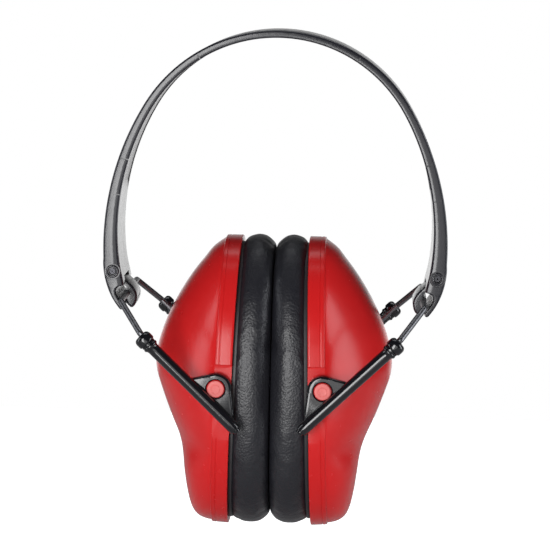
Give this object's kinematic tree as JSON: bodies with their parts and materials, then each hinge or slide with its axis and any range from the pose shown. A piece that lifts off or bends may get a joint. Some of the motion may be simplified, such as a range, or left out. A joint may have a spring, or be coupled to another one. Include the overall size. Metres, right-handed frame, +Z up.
{
  "type": "hearing protection earmuffs",
  "caption": "Folding passive earmuffs: red oval cups with padded leatherette cushions on wire forks that slide, swivel and fold into a black plastic headband.",
  "frame": {"origin": "inner edge of the headband at the top of the head, in the middle plane", "axes": "+Z up along the earmuffs' height, X from ear to ear, Y from the front (-Y) to the rear"},
  "size_m": [0.1222, 0.0958, 0.1782],
  "materials": {
    "band_plastic": "glossy moulded",
    "slider_plastic": "glossy moulded",
    "pin_steel": "oiled spring steel",
    "wire_steel": "drawn spring wire",
    "cup_plastic": "satin gloss moulded",
    "acoustic_foam": "open-cell foam",
    "plate_plastic": "matte moulded",
    "cushion_foam": "soft foam",
    "cushion_cover": "grained leatherette"
  },
  "bodies": {
    "headband": {"headband": "band_plastic"},
    "left_band_end": {"left_hinge_clip": "band_plastic", "left_clip_pin": "pin_steel"},
    "left_fork": {"left_wire_fork": "wire_steel"},
    "left_yoke": {"left_front_slider": "slider_plastic", "left_rear_slider": "slider_plastic", "left_front_collar": "slider_plastic", "left_rear_collar": "slider_plastic"},
    "left_cup": {"left_cup_shell": "cup_plastic", "left_foam_insert": "acoustic_foam", "left_cushion_plate": "plate_plastic", "left_cushion_foam": "cushion_foam", "left_cushion_cover": "cushion_cover"},
    "right_band_end": {"right_hinge_clip": "band_plastic", "right_clip_pin": "pin_steel"},
    "right_fork": {"right_wire_fork": "wire_steel"},
    "right_yoke": {"right_front_slider": "slider_plastic", "right_rear_slider": "slider_plastic", "right_front_collar": "slider_plastic", "right_rear_collar": "slider_plastic"},
    "right_cup": {"right_cup_shell": "cup_plastic", "right_foam_insert": "acoustic_foam", "right_cushion_plate": "plate_plastic", "right_cushion_foam": "cushion_foam", "right_cushion_cover": "cushion_cover"}
  },
  "joints": [
    {"name": "left_spread", "type": "slide", "parent": "headband", "child": "left_band_end", "axis": [-1, 0, 0], "range_m": [0, 0.01805], "deforming": ["headband"]},
    {"name": "left_fold", "type": "hinge", "parent": "left_band_end", "child": "left_fork", "pos_m": [-0.0545, 0, -0.0906], "axis": [0, 1, 0], "range_deg": [-80.4, 32]},
    {"name": "left_height", "type": "slide", "parent": "left_fork", "child": "left_yoke", "axis": [0.7218, 0, -0.6921], "range_m": [0, 0.025]},
    {"name": "left_swivel", "type": "hinge", "parent": "left_yoke", "child": "left_cup", "pos_m": [-0.0185, 0, -0.1202], "axis": [0, 1, 0], "range_deg": [-32, 80.4], "deforming": ["left_cushion_foam", "left_cushion_cover"]},
    {"name": "right_spread", "type": "slide", "parent": "headband", "child": "right_band_end", "axis": [1, 0, 0], "range_m": [0, 0.01805], "deforming": ["headband"]},
    {"name": "right_fold", "type": "hinge", "parent": "right_band_end", "child": "right_fork", "pos_m": [0.0545, 0, -0.0906], "axis": [0, -1, 0], "range_deg": [-80.4, 32]},
    {"name": "right_height", "type": "slide", "parent": "right_fork", "child": "right_yoke", "axis": [-0.7218, 0, -0.6921], "range_m": [0, 0.025]},
    {"name": "right_swivel", "type": "hinge", "parent": "right_yoke", "child": "right_cup", "pos_m": [0.0185, 0, -0.1202], "axis": [0, -1, 0], "range_deg": [-32, 80.4], "deforming": ["right_cushion_foam", "right_cushion_cover"]}
  ],
  "couplings": [
    {"joint": "left_spread", "follows": "left_height", "ratio": 0.7217},
    {"joint": "left_swivel", "follows": "left_fold", "ratio": -1},
    {"joint": "right_spread", "follows": "right_height", "ratio": 0.7217},
    {"joint": "right_swivel", "follows": "right_fold", "ratio": -1}
  ]
}
